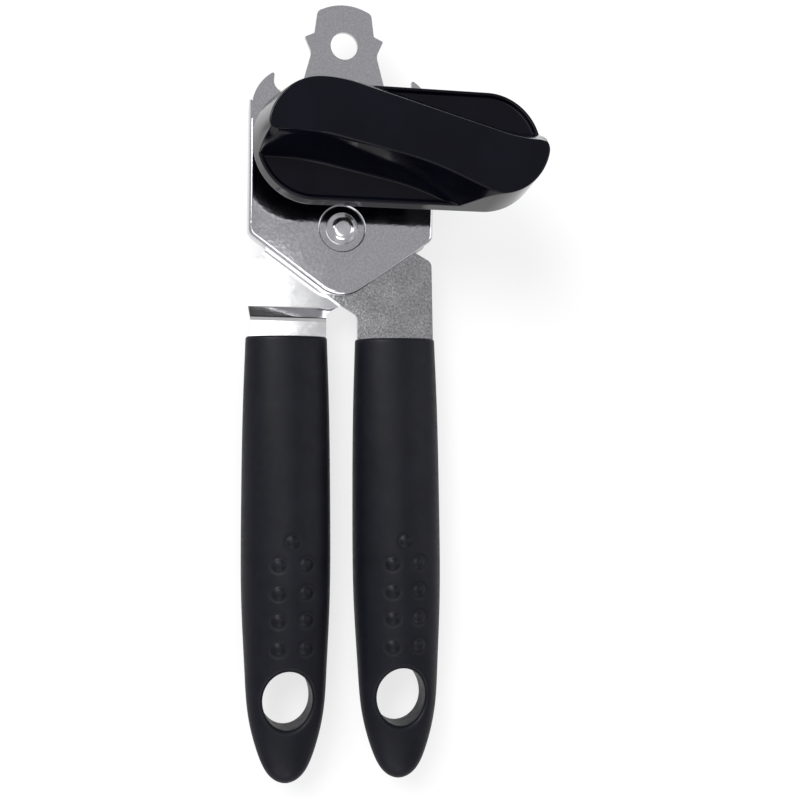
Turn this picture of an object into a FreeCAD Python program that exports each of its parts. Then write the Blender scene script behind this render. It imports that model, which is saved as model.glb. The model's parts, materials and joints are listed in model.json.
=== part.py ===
import FreeCAD, Part
import math
import os
import re
import Sketcher
from FreeCAD import Rotation, Vector

# Manual can opener: two crossed levers on one rivet, a pressed front plate, and a knob that turns the feed
# wheel and, through a pair of gears, the cutting wheel.
# Working frame: x and y from the pivot axis, +y to the head, z = 0 on the front plate's face, +z to the knob.
# Every sub-part's Placement moves it to the part's frame: origin under the middle of the object's outline,
# on the surface that it lies on.

doc = FreeCAD.newDocument("can_opener")
dims = doc.addObject("Spreadsheet::Sheet", "dims")

# ---------------------------------------------------------------- driving dimensions, in mm and degrees
SIZES = [
    # sheet metal
    ("plate_gauge", "1.2"), ("lever_gauge", "1.6"), ("bend_radius", "1.0"),
    # how far a cutting shape runs past what it cuts
    ("overrun", "1.0"),
    # front plate: a tray with turned-down sides and a pointed foot
    ("head_half", "25.3"), ("tray_top", "33.5"), ("tray_corner", "-2.2"), ("tray_foot", "-20.2"),
    ("tray_depth", "4.4"), ("tray_corner_round", "2.6"), ("tray_foot_round", "9.6"),
    ("tray_end_slope", "2.6"),
    ("coin_radius", "6.1"), ("coin_depth", "0.45"), ("coin_round", "0.4"),
    # horns
    ("horn_inset", "0.5"), ("horn_start", "5.0"), ("horn_base", "37.45"), ("horn_round", "11.6"),
    ("horn_tip_x", "18.7"), ("horn_tip_y", "41.5"), ("horn_tip_round", "0.45"),
    ("horn_root_x", "19.2"), ("horn_root_y", "36.05"), ("horn_root_round", "2.9"),
    # lifter tab with its hang hole
    ("tab_root_x", "11.95"), ("tab_root_round", "1.0"), ("tab_waist_x", "8.9"), ("tab_waist_y", "47.2"),
    ("tab_waist_round", "3.0"), ("spur_x", "10.75"), ("spur_y", "51.35"), ("spur_round", "0.4"),
    ("tab_neck_x", "8.15"), ("tab_neck_y", "52.5"), ("tab_neck_round", "0.5"), ("tab_top_x", "7.35"),
    ("tab_top_y", "58.6"), ("tab_top_round", "1.7"), ("crown_peak", "61.75"), ("crown_round", "14.0"),
    ("tab_hole_y", "49.5"), ("tab_hole_radius", "3.7"),
    # cap-lifter slot
    ("slot_half", "5.2"), ("slot_low", "31.6"), ("slot_high", "40.2"), ("slot_round", "2.2"),
    ("lip_width", "1.1"), ("lip_rise", "0.5"), ("lip_depth", "3.4"), ("lip_reach", "3.1"),
    # levers
    ("lever_clearance", "0.4"), ("washer_gauge", "0.3"), ("arm_top", "30.5"), ("arm_side", "24.5"),
    ("arm_round", "4.0"), ("edge_round", "2.2"), ("boss_round", "5.0"), ("crotch_x", "0.8"),
    ("crotch_y", "-20.5"),
    ("right_arm_corner", "-2.5"), ("right_boss_x", "10.4"), ("right_boss_y", "0.8"), ("right_neck_y", "4.8"),
    ("right_shoulder_x", "26.1"), ("right_shoulder_y", "-7.8"), ("right_crotch_y", "-23.2"),
    ("left_arm_corner", "-3.5"), ("left_boss_x", "9.4"), ("left_boss_y", "0.8"), ("left_neck_y", "12.8"),
    ("left_shoulder_y", "-8.9"), ("left_crotch_y", "-22.7"), ("left_crotch_round", "1.0"),
    ("step_top", "-21.2"), ("step_foot", "-24.4"), ("step_round", "0.8"),
    ("left_tang_out", "-24.1"), ("left_tang_in", "-3.3"),
    ("right_tang_in", "5.5"), ("right_tang_out", "26.8"),
    ("tang_inset", "3.1"), ("tang_shoulder", "-31.5"), ("tang_clearance", "7.3"), ("tang_round", "4.0"),
    ("left_arm_side", "-2.9"), ("stop_gap", "0.3"),
    # grips: one moulding, used twice
    ("grip_length", "121.2"), ("left_grip_x", "-14.05"), ("right_grip_x", "16.1"), ("grip_top", "-29.3"),
    ("left_grip_turn", "0.55"), ("right_grip_turn", "1.18"),
    ("hole_from_tip", "23.2"), ("hole_half_width", "6.75"), ("hole_half_height", "8.0"),
    # pivot
    ("pivot_radius", "3.0"), ("spacer_radius", "7.0"), ("dome_radius", "4.35"), ("dome_height", "2.3"),
    ("dome_flat", "2.7"), ("dome_round", "2.2"), ("dome_edge", "0.2"), ("dome_edge_round", "0.5"),
    ("rear_head_radius", "4.8"), ("rear_head_height", "1.4"), ("rear_head_round", "0.7"),
    ("rear_washer_gauge", "0.5"), ("rear_washer_width", "1.0"),
    ("run_fit", "0.05"), ("slack", "0.1"),
    # drive train
    ("drive_x", "12.2"), ("drive_y", "19.3"), ("shaft_radius", "3.5"), ("shaft_square", "4.9"),
    ("shaft_round", "0.5"), ("shaft_short", "4.1"), ("bushing_wall", "1.1"), ("neck_wall", "0.6"),
    ("flange_width", "1.8"), ("flange_height", "0.6"), ("flange_round", "0.25"),
    ("gear_gap", "0.3"), ("gear_teeth", "15"), ("gear_pitch", "10.8"), ("gear_width", "2.5"),
    ("addendum", "1.3"), ("dedendum", "1.65"), ("backlash", "0.5"),
    ("feed_radius", "9.7"), ("feed_width", "2.6"), ("feed_teeth", "24"), ("feed_tooth", "0.9"),
    ("feed_land", "0.5"), ("feed_root_half", "0.1"), ("gear_washer_width", "2.0"),
    ("thread_radius", "2.3"), ("thread_relief", "0.2"), ("thread_short", "0.3"), ("thread_round", "0.3"),
    ("nut_radius", "3.7"), ("lock_washer_gauge", "0.6"), ("lock_washer_radius", "4.4"),
    # cutter train
    ("cutter_radius", "12.4"), ("cutter_gauge", "1.2"), ("cutter_flat", "8.6"), ("cutter_land", "0.15"),
    ("cutter_gap", "0.3"), ("stud_radius", "2.5"), ("stud_head", "4.2"), ("stud_head_height", "0.6"),
    ("stud_head_round", "0.25"), ("stud_washer_gauge", "0.2"), ("stud_washer_radius", "4.8"),
    ("collar_radius", "5.0"), ("cutter_spacer_radius", "4.5"), ("spacer_clearance", "0.1"),
    # knob
    ("knob_base", "14.9"), ("knob_top", "32.3"), ("knob_round", "15.65"), ("knob_straight", "22.6"),
    ("knob_end_flat", "0.05"),
    ("knob_draft", "7.5"), ("scoop_floor", "18.6"), ("scoop_draft", "18.0"), ("knob_wall", "2.2"),
    ("scoop_y", "-0.4"), ("scoop_bend", "-25.7"), ("scoop_round", "14.0"), ("scoop_end_x", "24.0"),
    ("scoop_end_y", "-13.73"), ("scoop_flare", "2.0"), ("scoop_overrun", "4.0"),
    ("core_end", "28.0"), ("core_near", "2.5"), ("core_far", "8.0"), ("core_side_x", "24.0"),
    ("core_side_y", "10.2"), ("core_knee_x", "17.6"), ("core_knee_y", "9.7"), ("core_round", "1.5"),
    ("hub_wall", "3.0"), ("hub_clearance", "0.1"), ("socket_gap", "0.5"),
    ("knob_washer_gauge", "0.5"), ("knob_washer_inset", "0.5"),
]

# the grip's sections: share of its length from its top, half width, half thickness, height of the middle
GRIP_SECTIONS = [
    (0.0, 11.1, 7.5, -6.0), (0.14, 11.7, 8.5, -6.2), (0.371, 12.15, 9.35, -6.4), (0.561, 12.25, 9.4, -6.4),
    (0.722, 11.45, 8.1, -6.1), (0.8375, 9.8, 6.2, -5.8), (0.928, 6.8, 4.5, -5.6), (0.978, 3.8, 2.9, -5.5),
    (1.0, 0.8, 0.6, -5.5)]
for number, section in enumerate(GRIP_SECTIONS):
    for quantity, value in zip(("share", "wide", "deep", "middle"), section):
        SIZES.append(("grip_%s_%d" % (quantity, number), str(value)))

# ---------------------------------------------------------------- worked-out dimensions
DERIVED = [
    ("tray_floor", "=-plate_gauge"),
    ("foot_slope", "=(tray_corner - tray_foot) / head_half"),
    ("foot_stretch", "=sqrt(1 + foot_slope ^ 2)"),
    ("inner_foot", "=tray_foot + plate_gauge * foot_stretch"),
    ("inner_corner", "=tray_corner + plate_gauge * (foot_stretch - foot_slope)"),
    ("inner_half", "=head_half - plate_gauge"),
    ("horn_side", "=head_half - horn_inset"),
    ("right_lever_z", "=-tray_depth - lever_clearance"),
    ("right_lever_back", "=right_lever_z - lever_gauge"),
    ("left_lever_z", "=right_lever_back - washer_gauge"),
    ("left_lever_back", "=left_lever_z - lever_gauge"),
    ("gear_z", "=left_lever_back - gear_gap"),
    ("gear_back", "=gear_z - gear_width"),
    ("feed_back", "=gear_back - feed_width"),
    ("cutter_z", "=feed_back - cutter_gap"),
    ("cutter_back", "=cutter_z - cutter_gauge"),
    ("stud_head_z", "=cutter_back - stud_washer_gauge"),
    ("rest_z", "=stud_head_z - stud_head_height"),
    ("step_rise", "=right_lever_z - left_lever_z"),
    ("step_run", "=step_top - step_foot"),
    ("step_shift", "=lever_gauge * (sqrt(step_rise ^ 2 + step_run ^ 2) - step_run) / step_rise"),
    ("crown_slope", "=(crown_peak - tab_top_y) / tab_top_x"),
    ("crown_top", "=crown_peak - crown_round * (sqrt(1 + crown_slope ^ 2) - 1)"),
    ("tang_end", "=grip_top - grip_length + hole_from_tip + hole_half_height + tang_clearance"),
    ("bushing_radius", "=shaft_radius + bushing_wall"),
    ("bushing_neck", "=shaft_radius + neck_wall"),
    ("bushing_flange", "=bushing_radius + flange_width"),
    ("thread_top", "=feed_back + thread_relief"),
    ("thread_end", "=rest_z + thread_short"),
    ("reach", "=sqrt(drive_x ^ 2 + drive_y ^ 2)"),
    ("drive_angle", "=atan(drive_y / drive_x) / 1deg"),
    ("cutter_angle", "=drive_angle + 2 * asin(gear_pitch / reach) / 1deg"),
    ("cutter_x", "=reach * cos(cutter_angle * 1deg)"),
    ("cutter_y", "=reach * sin(cutter_angle * 1deg)"),
    ("right_arm_side", "=drive_x - bushing_radius - stop_gap"),
    ("mesh_angle", "=(drive_angle + cutter_angle) / 2 + 90"),
    ("tooth_depth", "=addendum + dedendum"),
    ("gap_at_pitch", "=(pi * gear_pitch / gear_teeth + backlash) / 2"),
    ("flank_slope", "=tan(20deg + (gap_at_pitch / gear_pitch) * 1rad)"),
    ("gap_at_rim", "=gap_at_pitch + addendum * flank_slope"),
    ("gap_at_root", "=gap_at_pitch - dedendum * flank_slope"),
    ("feed_gap_at_rim", "=pi * feed_radius / feed_teeth - feed_land / 2"),
    ("hub_low", "=flange_height + knob_washer_gauge + hub_clearance"),
    ("hub_radius", "=shaft_radius + hub_wall"),
    ("knob_corner", "=knob_round - knob_end_flat"),
    ("knob_half", "=knob_round + knob_straight"),
    ("shaft_top", "=knob_top - knob_wall - shaft_short"),
    ("right_grip_end", "=grip_top - grip_length * cos(right_grip_turn * 1deg)"),
    ("shift_x", "=-drive_x"),
    ("shift_y", "=-(crown_top + right_grip_end) / 2"),
]

for row, (alias, content) in enumerate(SIZES + DERIVED, start=1):
    dims.set("A%d" % row, alias)
    dims.set("B%d" % row, content)
    dims.setAlias("B%d" % row, alias)
doc.recompute()


ALIASES = re.compile(r"\b(%s)\b" % "|".join(alias for alias, content in SIZES + DERIVED))


def size(text):
    """The number that an expression over the sheet's names gives."""
    return float(dims.evalExpression(text))


def bind(thing, prop, text):
    """Set a property from an expression over the sheet's names and keep it bound to them."""
    thing.setExpression(prop, ALIASES.sub(r"dims.\1", text))


# ---------------------------------------------------------------- building blocks
def place(thing, x="0", y="0", z="0"):
    """Bind a Placement to a point of the working frame, moved to the part's frame."""
    bind(thing, "Placement.Base.x", "shift_x + " + x)
    bind(thing, "Placement.Base.y", "shift_y + " + y)
    bind(thing, "Placement.Base.z", z + " - rest_z")


def turn_about_z(thing, angle):
    """Bind the angle of a Placement that turns about z."""
    thing.Placement.Rotation = Rotation(Vector(0, 0, 1), 1)
    bind(thing, "Placement.Rotation.Angle", angle)


def new_body(label, x="0", y="0", z="0"):
    """A body whose own origin is at (x, y, z) of the working frame."""
    body = doc.addObject("PartDesign::Body", label)
    place(body, x, y, z)
    return body


def new_sketch(body, name, plane="XY_Plane", offset="0"):
    """A sketch on one of the body's own planes, moved along the plane's normal by an expression."""
    sketch = body.newObject("Sketcher::SketchObject", body.Name + "_" + name)
    sketch.AttachmentSupport = [(next(f for f in body.Origin.OriginFeatures if f.Role == plane), "")]
    sketch.MapMode = "FlatFace"
    bind(sketch, "AttachmentOffset.Base.z", offset)
    return sketch


def add_circle(sketch, radius, x="0", y="0"):
    """A circle whose centre and radius follow the sheet."""
    circle = sketch.addGeometry(Part.Circle(Vector(size(x), size(y), 0), Vector(0, 0, 1), size(radius)))
    for kind, text in (("DistanceX", x), ("DistanceY", y)):
        spot = sketch.addConstraint(Sketcher.Constraint(kind, -1, 1, circle, 3, size(text)))
        bind(sketch, "Constraints[%d]" % spot, text)
    spot = sketch.addConstraint(Sketcher.Constraint("Radius", circle, size(radius)))
    bind(sketch, "Constraints[%d]" % spot, radius)


def add_outline(sketch, corners):
    """A closed outline. A corner is (x, y) or (x, y, radius), and its straight sides meet at (x, y)."""
    points = [Vector(size(corner[0]), size(corner[1]), 0) for corner in corners]
    count = len(corners)
    starts, ends, marks = [], [], []
    for here, corner in enumerate(corners):
        point = points[here]
        before = (points[here - 1] - point).normalize()
        after = (points[(here + 1) % count] - point).normalize()
        if len(corner) == 3:
            trim = size(corner[2]) / math.tan(before.getAngle(after) / 2)
            middle = (before + after).normalize()
            centre = point + middle * (size(corner[2]) / math.sin(before.getAngle(after) / 2))
            marks.append((point + before * trim, centre - middle * size(corner[2]), point + after * trim))
            starts.append(point + after * trim)
            ends.append(point + before * trim)
        else:
            marks.append(None)
            starts.append(point)
            ends.append(point)
    lines = [sketch.addGeometry(Part.LineSegment(starts[i], ends[(i + 1) % count])) for i in range(count)]
    for here, corner in enumerate(corners):
        mark = sketch.addGeometry(Part.Point(points[here]), True)
        for kind, text in (("DistanceX", corner[0]), ("DistanceY", corner[1])):
            spot = sketch.addConstraint(Sketcher.Constraint(kind, -1, 1, mark, 1, size(text)))
            bind(sketch, "Constraints[%d]" % spot, text)
        arriving, leaving = lines[here - 1], lines[here]
        if marks[here]:
            arc = sketch.addGeometry(Part.Arc(*marks[here]))
            turned = (marks[here][0] - points[here]).cross(marks[here][2] - points[here]).z > 0
            first, last = (2, 1) if turned else (1, 2)
            sketch.addConstraint(Sketcher.Constraint("Tangent", arriving, 2, arc, first))
            sketch.addConstraint(Sketcher.Constraint("Tangent", arc, last, leaving, 1))
            sketch.addConstraint(Sketcher.Constraint("PointOnObject", mark, 1, arriving))
            sketch.addConstraint(Sketcher.Constraint("PointOnObject", mark, 1, leaving))
            spot = sketch.addConstraint(Sketcher.Constraint("Radius", arc, size(corner[2])))
            bind(sketch, "Constraints[%d]" % spot, corner[2])
        else:
            sketch.addConstraint(Sketcher.Constraint("Coincident", arriving, 2, leaving, 1))
            sketch.addConstraint(Sketcher.Constraint("Coincident", mark, 1, leaving, 1))
    if sketch.solve() != 0:
        raise RuntimeError("outline does not solve: " + sketch.Name)


def add_pad(sketch, length, downward=False, both=False, draft=None):
    """Pad a sketch by a bound length."""
    body = sketch.getParentGeoFeatureGroup()
    pad = body.newObject("PartDesign::Pad", sketch.Name + "_pad")
    pad.Profile = sketch
    bind(pad, "Length", length)
    pad.Reversed = downward
    pad.Midplane = both
    if draft:
        bind(pad, "TaperAngle", draft)
    doc.recompute()
    return pad


def add_pocket(sketch, length=None, upward=False, both=False, draft=None):
    """Cut a sketch out of its body, right through or by a bound length, and make sure that something went."""
    body = sketch.getParentGeoFeatureGroup()
    before = body.Shape.Volume
    pocket = body.newObject("PartDesign::Pocket", sketch.Name + "_cut")
    pocket.Profile = sketch
    pocket.Reversed = upward
    pocket.Midplane = both
    if length:
        bind(pocket, "Length", length)
    else:
        pocket.Type = "ThroughAll"
    if draft:
        bind(pocket, "TaperAngle", draft)
    doc.recompute()
    if body.Shape.Volume >= before:
        raise RuntimeError("nothing cut by " + pocket.Name)
    return pocket


def add_ring(body, feature, count):
    """Repeat a feature round the body's z axis."""
    ring = body.newObject("PartDesign::PolarPattern", feature.Name + "_ring")
    ring.Originals = [feature]
    ring.Axis = (next(f for f in body.Origin.OriginFeatures if f.Role == "Z_Axis"), "")
    ring.Angle = 360
    bind(ring, "Occurrences", count)
    body.Tip = ring
    doc.recompute()
    return ring


def add_fillet(body, radius, wanted):
    """Round the edges of the body that a test picks out."""
    base = body.Tip
    names = ["Edge%d" % (i + 1) for i, edge in enumerate(base.Shape.Edges) if wanted(edge)]
    if not names:
        raise RuntimeError("no edges to round on " + body.Name)
    fillet = body.newObject("PartDesign::Fillet", body.Name + "_round")
    fillet.Base = (base, names)
    bind(fillet, "Radius", radius)
    doc.recompute()
    return fillet


def turned(label, profile, x="0", y="0", z="0"):
    """A round piece: a half outline of (radius, height) corners, turned about the piece's own z axis."""
    body = new_body(label, x, y, z)
    sketch = new_sketch(body, "profile", "XZ_Plane")
    add_outline(sketch, profile)
    spin = body.newObject("PartDesign::Revolution", label + "_turn")
    spin.Profile = sketch
    spin.ReferenceAxis = (sketch, ["V_Axis"])
    spin.Angle = 360
    doc.recompute()
    return body


def ring_piece(label, inner, outer, height, x="0", y="0", z="0"):
    """A washer, spacer or sleeve that hangs down from z."""
    low = "-(%s)" % height
    return turned(label, [(inner, "0"), (outer, "0"), (outer, low), (inner, low)], x, y, z)


def mirrored(corners):
    """The same corners on the other side of the y axis, in the order that goes on round the outline."""
    return [("-(%s)" % corner[0],) + corner[1:] for corner in reversed(corners)]


# ---------------------------------------------------------------- front plate
front_plate = new_body("front_plate")
tray = new_sketch(front_plate, "tray")
add_outline(tray, [
    ("-head_half", "tray_top"), ("-head_half", "tray_corner", "tray_corner_round"),
    ("0", "tray_foot", "tray_foot_round"),
    ("head_half", "tray_corner", "tray_corner_round"), ("head_half", "tray_top")])
add_pad(tray, "tray_depth", downward=True)
add_fillet(
    front_plate, "bend_radius",
    lambda edge: abs(edge.CenterOfMass.z) < 1e-6 and edge.CenterOfMass.y < size("tray_top") - 1e-3)
hollow = new_sketch(front_plate, "hollow", offset="-tray_depth")
add_outline(hollow, [
    ("-inner_half", "tray_top + overrun"), ("-inner_half", "inner_corner", "tray_corner_round - plate_gauge"),
    ("0", "inner_foot", "tray_foot_round - plate_gauge"),
    ("inner_half", "inner_corner", "tray_corner_round - plate_gauge"), ("inner_half", "tray_top + overrun")])
add_pocket(hollow, "tray_depth - plate_gauge", upward=True)
side_end = new_sketch(front_plate, "side_end", "YZ_Plane")
add_outline(side_end, [
    ("tray_top - tray_end_slope", "-tray_depth"), ("tray_top + overrun", "-tray_depth"),
    ("tray_top + overrun", "tray_floor"), ("tray_top", "tray_floor")])
add_pocket(side_end, both=True)

head = new_sketch(front_plate, "head")
half_head = [
    ("horn_side", "tray_top - horn_start"), ("horn_side", "horn_base", "horn_round"),
    ("horn_tip_x", "horn_tip_y", "horn_tip_round"),
    ("horn_root_x", "horn_root_y", "horn_root_round"), ("tab_root_x", "horn_root_y", "tab_root_round"),
    ("tab_waist_x", "tab_waist_y", "tab_waist_round"), ("spur_x", "spur_y", "spur_round"),
    ("tab_neck_x", "tab_neck_y", "tab_neck_round"), ("tab_top_x", "tab_top_y", "tab_top_round")]
add_outline(head, half_head + [("0", "crown_peak", "crown_round")] + mirrored(half_head))
add_pad(head, "plate_gauge", downward=True)

# the lip round the top of the cap-lifter slot stands proud in front and is turned down behind
lip = new_sketch(front_plate, "lip", offset="lip_rise")
add_outline(lip, [
    ("-(slot_half + lip_width)", "slot_high - lip_reach"),
    ("-(slot_half + lip_width)", "slot_high + lip_width", "slot_round + lip_width"),
    ("slot_half + lip_width", "slot_high + lip_width", "slot_round + lip_width"),
    ("slot_half + lip_width", "slot_high - lip_reach")])
add_pad(lip, "lip_rise + lip_depth", downward=True)
slot = new_sketch(front_plate, "slot")
add_outline(slot, [
    ("-slot_half", "slot_low", "slot_round"), ("-slot_half", "slot_high", "slot_round"),
    ("slot_half", "slot_high", "slot_round"), ("slot_half", "slot_low", "slot_round")])
add_pocket(slot, both=True)
tab_hole = new_sketch(front_plate, "tab_hole")
add_circle(tab_hole, "tab_hole_radius", y="tab_hole_y")
add_pocket(tab_hole)

# coined seat of the rivet's head: sunk in front, standing out behind
coin_back = new_sketch(front_plate, "coin_back", offset="tray_floor")
add_circle(coin_back, "coin_radius + coin_depth / 2")
add_pad(coin_back, "coin_depth", downward=True)
coin = new_sketch(front_plate, "coin")
add_circle(coin, "coin_radius")
add_pocket(coin, "coin_depth")
add_fillet(
    front_plate, "coin_round",
    lambda edge: abs(edge.CenterOfMass.z) < 1e-6 and edge.CenterOfMass.Length < 1e-3)
rivet_hole = new_sketch(front_plate, "rivet_hole")
add_circle(rivet_hole, "pivot_radius")
add_pocket(rivet_hole)
drive_hole = new_sketch(front_plate, "drive_hole")
add_circle(drive_hole, "bushing_radius", "drive_x", "drive_y")
add_pocket(drive_hole)

# ---------------------------------------------------------------- levers
# The right lever is flat and crosses to the upper left, where it carries the cutter's stud.
right_lever = new_body("right_lever", z="right_lever_z")
right_outline = new_sketch(right_lever, "outline")
add_outline(right_outline, [
    ("right_tang_in + tang_inset", "tang_end", "tang_round"), ("right_tang_in + tang_inset", "tang_shoulder"),
    ("right_tang_in", "tang_shoulder"), ("right_tang_in", "right_crotch_y", "edge_round"),
    ("crotch_x", "crotch_y"), ("-arm_side", "right_arm_corner", "edge_round"),
    ("-arm_side", "arm_top", "arm_round"), ("right_arm_side", "arm_top", "arm_round"),
    ("right_arm_side", "right_neck_y", "boss_round"), ("right_boss_x", "right_boss_y", "boss_round"),
    ("right_shoulder_x", "right_shoulder_y", "edge_round"), ("right_tang_out", "tang_shoulder"),
    ("right_tang_out - tang_inset", "tang_shoulder"),
    ("right_tang_out - tang_inset", "tang_end", "tang_round")])
add_pad(right_outline, "lever_gauge", downward=True)
right_holes = new_sketch(right_lever, "holes")
add_circle(right_holes, "pivot_radius + run_fit")
add_circle(right_holes, "stud_radius", "cutter_x", "cutter_y")
add_pocket(right_holes)

# The left lever lies behind it, crosses to the upper right, where it carries the drive bushing, and steps
# forward below the pivot, so that both tangs lie in one plane.
step_side = new_body("left_lever_side", z="left_lever_z")
step_profile = new_sketch(step_side, "profile", "YZ_Plane")
add_outline(step_profile, [
    ("arm_top + overrun", "0"), ("step_top", "0", "step_round"),
    ("step_foot", "step_rise", "step_round + lever_gauge"), ("tang_end - overrun", "step_rise"),
    ("tang_end - overrun", "step_rise - lever_gauge"),
    ("step_foot - step_shift", "step_rise - lever_gauge", "step_round"),
    ("step_top - step_shift", "-lever_gauge", "step_round + lever_gauge"),
    ("arm_top + overrun", "-lever_gauge")])
add_pad(step_profile, "2 * (arm_side - left_tang_out)", both=True)
step_plan = new_body("left_lever_plan", z="left_lever_z")
left_outline = new_sketch(step_plan, "outline", offset="-lever_gauge - overrun")
add_outline(left_outline, [
    ("left_tang_in - tang_inset", "tang_end", "tang_round"),
    ("left_tang_out + tang_inset", "tang_end", "tang_round"), ("left_tang_out + tang_inset", "tang_shoulder"),
    ("left_tang_out", "tang_shoulder"), ("left_tang_out", "step_foot"), ("-arm_side", "step_top"),
    ("-arm_side", "left_shoulder_y", "edge_round"), ("-left_boss_x", "left_boss_y", "boss_round"),
    ("left_arm_side", "left_neck_y", "boss_round"), ("left_arm_side", "arm_top", "arm_round"),
    ("arm_side", "arm_top", "arm_round"), ("arm_side", "left_arm_corner", "edge_round"),
    ("crotch_x", "crotch_y"), ("left_tang_in", "left_crotch_y", "left_crotch_round"),
    ("left_tang_in", "tang_shoulder"), ("left_tang_in - tang_inset", "tang_shoulder")])
add_pad(left_outline, "lever_gauge + step_rise + 2 * overrun")
left_holes = new_sketch(step_plan, "holes", offset="lever_gauge + step_rise")
add_circle(left_holes, "pivot_radius")
add_circle(left_holes, "bushing_neck", "drive_x", "drive_y")
add_pocket(left_holes)
left_lever = doc.addObject("Part::Common", "left_lever")
left_lever.Base = step_plan
left_lever.Tool = step_side

# ---------------------------------------------------------------- pivot
pivot_rivet = turned("pivot_rivet", [
    ("0", "dome_height - coin_depth"), ("dome_flat", "dome_height - coin_depth", "dome_round"),
    ("dome_radius", "dome_edge", "dome_edge_round"), ("dome_radius", "-coin_depth"),
    ("pivot_radius", "-coin_depth"),
    ("pivot_radius", "left_lever_back - rear_washer_gauge"),
    ("rear_head_radius", "left_lever_back - rear_washer_gauge"),
    ("rear_head_radius", "left_lever_back - rear_washer_gauge - rear_head_height", "rear_head_round"),
    ("0", "left_lever_back - rear_washer_gauge - rear_head_height")])
pivot_spacer = ring_piece("pivot_spacer", "pivot_radius", "spacer_radius",
                          "tray_floor - coin_depth - right_lever_z", z="tray_floor - coin_depth")
lever_washer = ring_piece("lever_washer", "pivot_radius", "spacer_radius", "washer_gauge",
                          z="right_lever_back")
rear_washer = ring_piece("rear_washer", "pivot_radius", "rear_head_radius + rear_washer_width",
                         "rear_washer_gauge", z="left_lever_back")


# ---------------------------------------------------------------- gears and wheels
def toothed(label, outer, width, teeth, root, tip_half, root_half, x, y, z, turn):
    """A disc with straight-sided gaps as deep as root, with their half widths at the rim and at the root."""
    body = new_body(label, x, y, z)
    turn_about_z(body, turn)
    disc = new_sketch(body, "disc")
    add_circle(disc, outer)
    add_pad(disc, width, downward=True)
    gap = new_sketch(body, "gap")
    mouth = "(%s) + overrun * ((%s) - (%s)) / (%s)" % (tip_half, tip_half, root_half, root)
    add_outline(gap, [
        ("(%s) + overrun" % outer, mouth), ("(%s) - (%s)" % (outer, root), root_half),
        ("(%s) - (%s)" % (outer, root), "-(%s)" % root_half), ("(%s) + overrun" % outer, "-(%s)" % mouth)])
    add_ring(body, add_pocket(gap), teeth)
    return body


# ---------------------------------------------------------------- drive train
drive_bushing = turned("drive_bushing", [
    ("shaft_radius + run_fit", "flange_height"), ("bushing_flange", "flange_height", "flange_round"),
    ("bushing_flange", "0"), ("bushing_radius", "0"), ("bushing_radius", "left_lever_z"),
    ("bushing_neck", "left_lever_z"),
    ("bushing_neck", "left_lever_back"), ("shaft_radius + run_fit", "left_lever_back")], "drive_x", "drive_y")
knob_washer = ring_piece("knob_washer", "shaft_radius + slack", "hub_radius - knob_washer_inset",
                         "knob_washer_gauge", "drive_x", "drive_y", "flange_height + knob_washer_gauge")

# the shaft is round in its bushing, square where the gear and the feed wheel sit, and threaded at its end
drive_shaft = turned("drive_shaft", [
    ("0", "shaft_top"), ("shaft_radius", "shaft_top", "shaft_round"), ("shaft_radius", "thread_top"),
    ("thread_radius", "thread_top"), ("thread_radius", "thread_end", "thread_round"), ("0", "thread_end")],
    "drive_x", "drive_y")
for side, sign in (("left", "-1"), ("right", "1")):
    near, far = sign + " * shaft_square / 2", sign + " * (shaft_radius + overrun)"
    for end, top, depth in (("wheels", "gear_z", "gear_z - feed_back + overrun"),
                            ("knob", "shaft_top + overrun", "shaft_top + overrun - knob_base")):
        flat = new_sketch(drive_shaft, "%s_flat_%s" % (side, end), offset=top)
        add_outline(flat, [
            (near, "-shaft_radius - overrun"), (far, "-shaft_radius - overrun"),
            (far, "shaft_radius + overrun"), (near, "shaft_radius + overrun")])
        add_pocket(flat, depth)


def key_bore(body, turn="0", depth=None, upward=False):
    """A round bore with two flats, which keys a wheel or the knob to the shaft, turned about z."""
    bore = new_sketch(body, "bore")
    bore.AttachmentOffset.Rotation = Rotation(Vector(0, 0, 1), 1)
    bind(bore, "AttachmentOffset.Rotation.Angle", turn)
    half = "shaft_square / 2"
    rise = "sqrt(shaft_radius ^ 2 - (shaft_square / 2) ^ 2)"
    wide, deep = size(half), size(rise)
    low = [Vector(-wide, -deep, 0), Vector(0, -size("shaft_radius"), 0), Vector(wide, -deep, 0)]
    high = [Vector(-point.x, -point.y, 0) for point in low]
    arcs = [bore.addGeometry(Part.Arc(*ends)) for ends in (low, high)]
    lines = [bore.addGeometry(Part.LineSegment(*ends)) for ends in ((low[2], high[0]), (high[2], low[0]))]
    for line, first, last in ((lines[0], arcs[0], arcs[1]), (lines[1], arcs[1], arcs[0])):
        bore.addConstraint(Sketcher.Constraint("Coincident", line, 1, first, 2))
        bore.addConstraint(Sketcher.Constraint("Coincident", line, 2, last, 1))
        bore.addConstraint(Sketcher.Constraint("Vertical", line))
    for arc in arcs:
        bore.addConstraint(Sketcher.Constraint("Coincident", arc, 3, -1, 1))
    spot = bore.addConstraint(Sketcher.Constraint("Radius", arcs[0], size("shaft_radius")))
    bind(bore, "Constraints[%d]" % spot, "shaft_radius")
    bore.addConstraint(Sketcher.Constraint("Equal", arcs[0], arcs[1]))
    for line, sign in ((lines[0], ""), (lines[1], "-")):
        spot = bore.addConstraint(Sketcher.Constraint("DistanceX", -1, 1, line, 1, size(sign + half)))
        bind(bore, "Constraints[%d]" % spot, sign + half)
    if bore.solve() != 0:
        raise RuntimeError("bore does not solve on " + body.Name)
    return add_pocket(bore, depth, upward=upward)


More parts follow.
